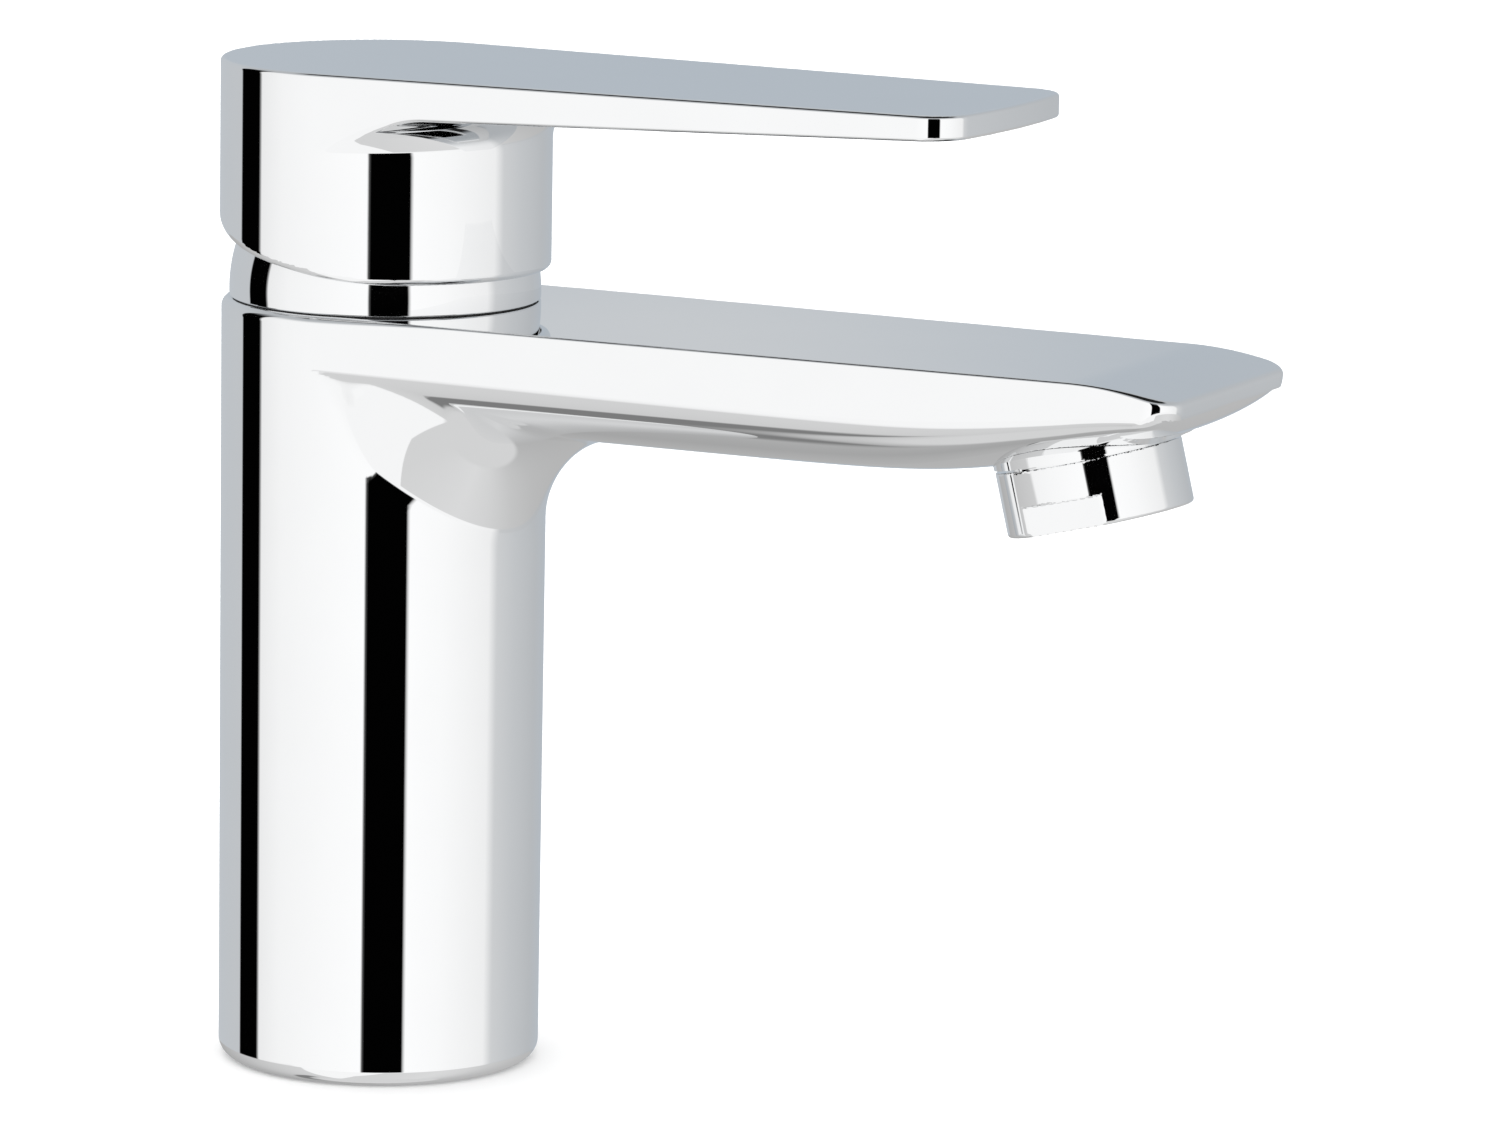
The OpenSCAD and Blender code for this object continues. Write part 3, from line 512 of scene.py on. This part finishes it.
def body_piece():
    xs = mirrored(steps(0.4, (21.0, 0.8), (25.2, 0.3)))
    ys = steps(-SPOUT_LEN - 1, (-98.0, 0.45), (-44.0, 2.0), (-3.0, 0.9), (17.0, 1.0), (25.2, 0.4))
    zs = steps(-1.0, (3.5, 0.4), (75.0, 3.0), (95.0, 0.8), (112.0, 0.45), (BODY_H + 0.9, 0.22))
    piece = formula_piece("tap_body", body_shape, xs, ys, zs)
    apply_tool(piece, rod(PAD_R, RING_GAP, PAD_TOP, OUTLET_PLACE, FINE_TURN), "UNION")
    hollow_r = FOOT_R - FOOT_WALL
    apply_tool(piece, lathe("tool", [
        (0, -1), (FOOT_OPENING_R, -1), (FOOT_OPENING_R, FOOT_RING_H),
        (hollow_r, FOOT_RING_H), (hollow_r, WEB_Z), (0, WEB_Z),
    ]))
    inner, outer = FOOT_SEAL_HIGH[0] - SEAL_GROOVE_W, FOOT_SEAL_HIGH[0] + FIT
    seal_top = FOOT_SEAL_HIGH[2]
    apply_tool(piece, lathe("tool", [(inner, -1), (outer, -1), (outer, seal_top), (inner, seal_top)]))
    holes = (
        ("hose_port_left", HOSE_R, HOSE_LEN), ("hose_port_right", HOSE_R, HOSE_LEN),
        ("stud_hole", STUD_R, STUD_LEN),
    )
    for mount, radius, length in holes:
        spot = next(m["pos_m"] for m in frame["record"]["mounts"] if m["name"] == mount)
        place = Matrix.Translation((spot[0] / MM, spot[1] / MM, 0))
        apply_tool(piece, rod(radius, WEB_Z - 1, WEB_Z + length, place))
    thread_r = NUT_HIGH[0] + FIT
    thread_z, recess_z = NUT_LOW[2] - 1, BODY_H - RECESS_DEPTH
    apply_tool(piece, lathe("tool", [
        (0, CHAMBER_FLOOR), (CHAMBER_R, CHAMBER_FLOOR), (CHAMBER_R, thread_z), (thread_r, thread_z),
        (thread_r, recess_z), (RECESS_R, recess_z), (RECESS_R, BEYOND + BODY_H), (0, BEYOND + BODY_H),
    ]))
    bore, step_r = THREAD_R + FIT, THREAD_R - BORE_STEP
    apply_tool(piece, lathe("tool", [
        (0, -BEYOND), (bore, -BEYOND), (bore, THREAD_LEN + 1), (step_r, THREAD_LEN + 1),
        (step_r, THREAD_LEN + 3), (0, THREAD_LEN + 3),
    ], OUTLET_PLACE))
    shade(piece, body_shape)
    return finish_piece(piece, "body", "tap")


def lever_piece():
    xs = mirrored(steps(0.4, (19.6, 0.8), (25.3, 0.3)))
    ys = steps(-LEVER_LEN - 1, (-94.0, 0.4), (-32.0, 1.6), (25.6, 0.7))
    zs = steps(SKIRT_Z - 1, (SKIRT_Z + 10, 0.4), (137.0, 1.2), (143.0, 0.6), (LEVER_TOP + 0.9, 0.22))
    piece = formula_piece("tap_lever", lever_shape, xs, ys, zs)
    meet = math.degrees(math.acos(HOLLOW_R / BALL_R))
    apply_tool(piece, lathe("tool", [
        (0, BODY_H), (BALL_R, BODY_H), *arc(0, PIVOT_Z, BALL_R, 0, meet, 12),
        (HOLLOW_R, HOLLOW_TOP), (0, HOLLOW_TOP),
    ]))
    boss_end = (LEVER_TOP - PLATE_ROOT_T - PIVOT_Z) / math.cos(SPINDLE_TILT) + 1
    apply_tool(piece, rod(BOSS_R, BOSS_START, boss_end, SPINDLE_PLACE), "UNION")
    half = STEM_W / 2
    apply_tool(piece, block((-half, -half, 0), (half, half, STEM_LEN), SPINDLE_PLACE))
    apply_tool(piece, rod(GRUB_R, 0, BOSS_R + 5, GRUB_PLACE))
    apply_tool(piece, rod(PLUG_R, PLUG_SEAT, PLUG_SEAT + 20, GRUB_PLACE))
    shade(piece, lever_shape)
    return finish_piece(piece, "lever_handle", "lever")


def collar_piece():
    """Ball-shaped collar with a spigot that centres it in the body."""
    low = BODY_H + COLLAR_LINE
    start = math.degrees(math.asin((low + COLLAR_EDGE_R - PIVOT_Z) / DOME_R))
    top = math.degrees(math.acos(DOME_OPEN_R / DOME_R))
    inner_r = DOME_R - DOME_WALL
    floor = DOME_SEAL_HIGH[2] + DOME_WALL
    inner_top = math.degrees(math.acos(DOME_OPEN_R / inner_r))
    inner_low = math.degrees(math.asin((floor - PIVOT_Z) / inner_r))
    piece = lathe("tap_collar", [
        (SPIGOT_IN_R, DOME_LOW[2]), (SPIGOT_OUT_R, DOME_LOW[2]), (SPIGOT_OUT_R, low),
        *arc(DOME_R - 0.25, low + COLLAR_EDGE_R, COLLAR_EDGE_R, -90, -20, 4),
        *arc(0, PIVOT_Z, DOME_R, start, top, 40),
        *arc(0, PIVOT_Z, inner_r, inner_top, inner_low, 24), (SPIGOT_IN_R, floor),
    ], count=FINE_TURN)
    shade(piece)
    return finish_piece(piece, "dome_collar", "tap")


def ring_piece():
    """The aerator's visible ring with its thread."""
    xs = mirrored(steps(0.15, (RING_R + 0.9, 0.3)))
    ys = steps(-REACH - RING_R - 3, (-REACH + RING_R + 3, 0.3))
    zs = steps(OUTLET_Z - RING_H - 4, (OUTLET_Z + 4, 0.3))
    piece = formula_piece("aerator_ring", ring_shape, xs, ys, zs)
    apply_tool(piece, rod(THREAD_R, -1, THREAD_LEN, OUTLET_PLACE, TURN), "UNION")
    apply_tool(piece, lathe("tool", [
        (0, -BEYOND), (MOUTH_R, -BEYOND), (MOUTH_R, LIP_H - RING_H), (INSERT_R, LIP_H - RING_H),
        (INSERT_R, BEYOND), (0, BEYOND),
    ], OUTLET_PLACE))
    shade(piece, ring_shape)
    return finish_piece(piece, "aerator_housing", "tap")


# ---------------------------------------------------------------- materials


def node_maker(tree):
    """Two helpers for a node tree: one adds a node with its settings, the other joins two sockets."""

    def add(kind, **settings):
        node = tree.nodes.new(kind)
        for name, value in settings.items():
            setattr(node, name, value)
        return node

    return add, tree.links.new


def surface(name, colour, second, metallic, rough, scale, bump, stretch=(1, 1, 1)):
    """A node material: noise mixes two colours, sets the roughness and lifts a fine bump."""
    look = bpy.data.materials.new(name)
    look.use_nodes = True
    add, join = node_maker(look.node_tree)
    shader = look.node_tree.nodes["Principled BSDF"]
    shader.inputs["Metallic"].default_value = metallic
    place = add("ShaderNodeTexCoord")
    grain = add("ShaderNodeMapping")
    grain.inputs["Scale"].default_value = stretch
    join(place.outputs["Object"], grain.inputs["Vector"])
    noise = add("ShaderNodeTexNoise")
    noise.inputs["Scale"].default_value = scale
    noise.inputs["Detail"].default_value = 4
    join(grain.outputs[0], noise.inputs["Vector"])
    blend = add("ShaderNodeMix", data_type="RGBA")
    blend.inputs["A"].default_value = (*colour, 1)
    blend.inputs["B"].default_value = (*second, 1)
    join(noise.outputs["Fac"], blend.inputs["Factor"])
    join(blend.outputs["Result"], shader.inputs["Base Color"])
    polish = add("ShaderNodeMapRange")
    polish.inputs["To Min"].default_value, polish.inputs["To Max"].default_value = rough
    join(noise.outputs["Fac"], polish.inputs["Value"])
    join(polish.outputs[0], shader.inputs["Roughness"])
    relief = add("ShaderNodeBump")
    relief.inputs["Strength"].default_value = 0.5
    relief.inputs["Distance"].default_value = bump
    join(noise.outputs["Fac"], relief.inputs["Height"])
    join(relief.outputs[0], shader.inputs["Normal"])
    return look


# Each slot: colour, second colour, metallic, roughness range, noise scale, bump and the noise's stretch
FINISHES = {
    "chrome": ((0.93, 0.935, 0.94), (0.90, 0.905, 0.91), 1, (0.012, 0.03), 70, 4e-7),
    "brass": ((0.72, 0.52, 0.23), (0.60, 0.41, 0.17), 1, (0.22, 0.42), 600, 6e-6, (1, 1, 8)),
    "steel": ((0.62, 0.62, 0.63), (0.50, 0.50, 0.52), 1, (0.18, 0.38), 900, 4e-6, (1, 1, 0.1)),
    "dark_steel": ((0.10, 0.10, 0.11), (0.05, 0.05, 0.06), 1, (0.35, 0.6), 900, 6e-6),
    "rubber": ((0.014, 0.014, 0.015), (0.03, 0.03, 0.032), 0, (0.5, 0.75), 1200, 8e-6),
    "ceramic": ((0.86, 0.85, 0.80), (0.80, 0.78, 0.73), 0, (0.08, 0.2), 500, 2e-6),
    "light_plastic": ((0.80, 0.80, 0.78), (0.72, 0.72, 0.69), 0, (0.3, 0.5), 900, 5e-6),
    "grey_plastic": ((0.50, 0.51, 0.52), (0.40, 0.41, 0.43), 0, (0.2, 0.35), 900, 4e-6),
    "green_plastic": ((0.04, 0.27, 0.15), (0.03, 0.2, 0.11), 0, (0.3, 0.5), 900, 5e-6),
    "red_plastic": ((0.36, 0.02, 0.02), (0.27, 0.015, 0.015), 0, (0.3, 0.5), 900, 5e-6),
}


def dress(pieces):
    """Gives every CAD node and every piece its slot's material."""
    looks = {slot: surface(slot, *finish) for slot, finish in FINISHES.items()}
    for part in frame["record"]["subparts"]:
        node = frame["nodes"][part["node"]]
        for place in node.material_slots:
            place.material = looks[part["material_slot"]]
    for piece in pieces:
        piece.data.materials.clear()
        piece.data.materials.append(looks[piece["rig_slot"]])


# ---------------------------------------------------------------- camera and studio

CAM_AZ, CAM_EL, CAM_ROLL = math.radians(-63.01), math.radians(9.976), math.radians(0.877)
CAM_DISTANCE = 1188.7
AIM = Vector((0, -45, 80))
FOCAL_SHARE = 5.4096
AIM_SHIFT_X, AIM_SHIFT_Y = 0.06527, -0.0048
SENSOR = 36.0
BACK = Vector((math.sin(CAM_AZ) * math.cos(CAM_EL), -math.cos(CAM_AZ) * math.cos(CAM_EL), math.sin(CAM_EL)))
RIGHT = Vector((math.cos(CAM_AZ), math.sin(CAM_AZ), 0))


def add_camera():
    """A long lens, turned a little off the object's middle."""
    data = bpy.data.cameras.new("camera")
    camera = bpy.data.objects.new("camera", data)
    bpy.context.scene.collection.objects.link(camera)
    data.sensor_width = SENSOR
    data.lens = FOCAL_SHARE * SENSOR
    data.clip_start, data.clip_end = 0.05, 50
    up = BACK.cross(RIGHT)
    right = RIGHT * math.cos(CAM_ROLL) + up * math.sin(CAM_ROLL)
    above = up * math.cos(CAM_ROLL) - RIGHT * math.sin(CAM_ROLL)
    turn = Matrix((right, above, BACK)).transposed()
    aside = Matrix.Rotation(-math.atan(AIM_SHIFT_X / FOCAL_SHARE), 3, "Y")
    nod = Matrix.Rotation(math.atan(AIM_SHIFT_Y / FOCAL_SHARE), 3, "X")
    place = (turn @ aside @ nod).to_4x4()
    place.translation = (AIM + BACK * CAM_DISTANCE) * MM
    camera.matrix_world = place
    bpy.context.scene.camera = camera


def tone(level, tint=0.0):
    """A grey in linear light from its display level; tint moves it towards blue."""
    return tuple(min(level + shift, 1.2) ** 2.2 for shift in (-tint, 0, tint))


def fill_ramp(node, stops):
    """Sets a colour ramp over a whole turn from (degrees, colour) stops."""
    ends = node.color_ramp.elements
    for index, (degrees, colour) in enumerate(stops):
        place = (degrees + 180) / 360
        stop = ends[index] if index < 2 else ends.new(place)
        stop.position = place
        stop.color = (*colour, 1)


BLACK = (0.0005, 0.0005, 0.0005)
# Level with the object: grey walls behind, white panels beside, and two black boards
UPPER = [
    (-180, tone(0.735, 0.034)), (-165, tone(0.775, 0.02)), (-117.6, tone(0.785, 0.012)),
    (-116.8, BLACK), (-96.0, BLACK), (-95.0, tone(0.95)), (-75, tone(0.99)), (-30, tone(1.02)),
    (-10.4, tone(1.03)), (-9.8, BLACK), (19.2, BLACK), (20.0, tone(1.03)), (45, tone(1.014)),
    (83, tone(0.965)), (91, tone(0.83, 0.006)), (110, tone(0.79, 0.01)), (140, tone(0.745, 0.012)),
    (180, tone(0.735, 0.034)),
]
# Lower down, under the boards
LOWER = [
    (-180, tone(0.70, 0.01)), (-172, tone(0.67)), (-150, tone(0.70)), (-110, tone(0.78)), (-80, tone(0.82)),
    (-56, tone(0.845)), (-54.5, tone(1.0)), (0, tone(1.0)), (60, tone(1.0)), (84, tone(0.965)),
    (92, tone(0.80, 0.006)), (135, tone(0.745, 0.01)), (180, tone(0.70, 0.01)),
]
# The deck itself
DECK = [
    (-180, tone(0.70)), (-172, tone(0.66)), (-150, tone(0.70)), (-110, tone(0.80)), (-50, tone(0.85)),
    (0, tone(0.85)), (50, tone(0.88)), (75, tone(0.85)), (105, tone(0.79)), (135, tone(0.75)),
    (180, tone(0.71)),
]
# Heights of the edges between them, in degrees, and the deck's outline
BOARD_FOOT, WALL_FOOT = -18.0, -14.6
BOARD_START = -54.0
DECK_EDGE = -20.5
DECK_SIDE, DECK_SLANT, DECK_TURN = -0.3, 0.35, 0.9
# Under the object, the dark streak beside that, the glow behind, the sky and what is overhead
UNDER_EDGE, UNDER_TONE = -66.0, tone(0.85)
STREAK_AT, STREAK_HALF, STREAK_TONE = -62.0, 3.2, tone(0.5)
STREAK_START, STREAK_END = -150.0, -80.0
GLOW_SIDE, GLOW_FOOT, GLOW_TONE = 175.0, (7.2, 8.4), tone(0.80, 0.014)
SKY, SKY_TONE = (22.0, 48.0), tone(0.73, 0.012)
OVERHEAD, OVERHEAD_TONE = (54.0, 62.0), tone(0.15)
PLAIN_STRENGTH = 1.6


def add_world():
    """The studio that the chrome mirrors; to the camera and to matt surfaces it is plain white."""
    world = bpy.data.worlds.new("studio")
    bpy.context.scene.world = world
    world.use_nodes = True
    tree = world.node_tree
    tree.nodes.clear()
    add, join = node_maker(tree)

    def math_node(operation, *values):
        node = add("ShaderNodeMath", operation=operation)
        for socket, value in zip(node.inputs, values):
            if isinstance(value, (int, float)):
                socket.default_value = value
            else:
                join(value, socket)
        return node.outputs[0]

    def step(value, low, high):
        """0 below low and 1 above high."""
        node = add("ShaderNodeMapRange", interpolation_type="SMOOTHSTEP")
        node.inputs["From Min"].default_value, node.inputs["From Max"].default_value = low, high
        join(value, node.inputs["Value"])
        return node.outputs[0]

    def mix(share, a, b):
        node = add("ShaderNodeMix", data_type="RGBA")
        join(share, node.inputs["Factor"])
        for socket, value in ((node.inputs["A"], a), (node.inputs["B"], b)):
            if isinstance(value, tuple):
                socket.default_value = (*value, 1)
            else:
                join(value, socket)
        return node.outputs["Result"]

    def along(direction):
        return math_node("ADD", math_node("MULTIPLY", x, direction.x), math_node("MULTIPLY", y, direction.y))

    split = add("ShaderNodeSeparateXYZ")
    join(add("ShaderNodeTexCoord").outputs["Generated"], split.inputs[0])
    x, y, z = split.outputs
    bearing = math_node("SUBTRACT", math_node("ARCTAN2", y, x), CAM_AZ - math.pi / 2)
    turn = math_node("WRAP", bearing, math.pi, -math.pi)
    share = math_node("ADD", math_node("DIVIDE", turn, 2 * math.pi), 0.5)
    height = math_node("MULTIPLY", math_node("ARCSINE", z), 180 / math.pi)
    bands = []
    for stops in (UPPER, LOWER, DECK):
        node = add("ShaderNodeValToRGB")
        fill_ramp(node, stops)
        join(share, node.inputs[0])
        bands.append(node.outputs[0])
    upper, lower, deck = bands
    degrees = math_node("MULTIPLY", turn, 180 / math.pi)
    foot = add("ShaderNodeMapRange")
    limits = {
        "From Min": BOARD_START - 1, "From Max": BOARD_START + 1, "To Min": WALL_FOOT, "To Max": BOARD_FOOT,
    }
    for socket, value in limits.items():
        foot.inputs[socket].default_value = value
    join(degrees, foot.inputs["Value"])
    colour = mix(step(math_node("SUBTRACT", height, foot.outputs[0]), -0.4, 0.4), lower, upper)
    depth = math_node("MAXIMUM", math_node("MULTIPLY", z, -1.0), 0.01)
    aside = math_node("DIVIDE", along(RIGHT), depth)
    ahead = math_node("DIVIDE", along(Vector((BACK.x, BACK.y, 0)).normalized()), depth)
    past_turn = math_node("MAXIMUM", math_node("SUBTRACT", ahead, DECK_TURN), 0.0)
    slant = math_node("MULTIPLY", past_turn, DECK_SLANT)
    on_deck = math_node(
        "MULTIPLY", step(math_node("SUBTRACT", aside, slant), DECK_SIDE - 0.01, DECK_SIDE + 0.01),
        math_node("SUBTRACT", 1.0, step(height, DECK_EDGE - 0.4, DECK_EDGE + 0.4)),
    )
    colour = mix(on_deck, colour, deck)
    colour = mix(step(height, UNDER_EDGE, UNDER_EDGE - 4), colour, UNDER_TONE)
    far = math_node("ABSOLUTE", math_node("SUBTRACT", height, STREAK_AT))
    streak = math_node(
        "MULTIPLY", step(far, STREAK_HALF + 1.2, STREAK_HALF - 1.2),
        math_node("MULTIPLY", step(degrees, STREAK_START - 8, STREAK_START + 8),
                  step(degrees, STREAK_END + 6, STREAK_END - 6)),
    )
    colour = mix(streak, colour, STREAK_TONE)
    behind = step(math_node("ABSOLUTE", degrees), GLOW_SIDE, 180)
    colour = mix(math_node("MULTIPLY", behind, step(height, *GLOW_FOOT)), colour, GLOW_TONE)
    colour = mix(step(height, *SKY), colour, SKY_TONE)
    colour = mix(step(height, *OVERHEAD), colour, OVERHEAD_TONE)
    studio = add("ShaderNodeBackground")
    join(colour, studio.inputs["Color"])
    plain = add("ShaderNodeBackground")
    plain.inputs["Strength"].default_value = PLAIN_STRENGTH
    plain.inputs["Color"].default_value = (1, 1, 1, 1)
    mirror = add("ShaderNodeMixShader")
    join(add("ShaderNodeLightPath").outputs["Is Glossy Ray"], mirror.inputs[0])
    join(plain.outputs[0], mirror.inputs[1])
    join(studio.outputs[0], mirror.inputs[2])
    join(mirror.outputs[0], add("ShaderNodeOutputWorld").inputs["Surface"])


FLOOR_HALF = 6.0


def add_floor():
    """A plain pale deck, which the chrome doesn't mirror because the studio has its own."""
    low = BODY_LOW[2] * MM
    size = FLOOR_HALF
    mesh = bpy.data.meshes.new("floor")
    corners = [(-size, -size), (size, -size), (size, size), (-size, size)]
    mesh.from_pydata([(x, y, low) for x, y in corners], [], [(0, 1, 2, 3)])
    floor = bpy.data.objects.new("floor", mesh)
    bpy.context.scene.collection.objects.link(floor)
    floor.visible_glossy = False
    look = surface("floor", (0.93, 0.93, 0.93), (0.91, 0.91, 0.91), 0, (0.8, 0.9), 30, 1e-6)
    floor.data.materials.append(look)


# ---------------------------------------------------------------- build

add_camera()
add_world()
add_floor()
dress([body_piece(), lever_piece(), collar_piece(), ring_piece()])
bpy.context.scene.view_settings.view_transform = "Standard"
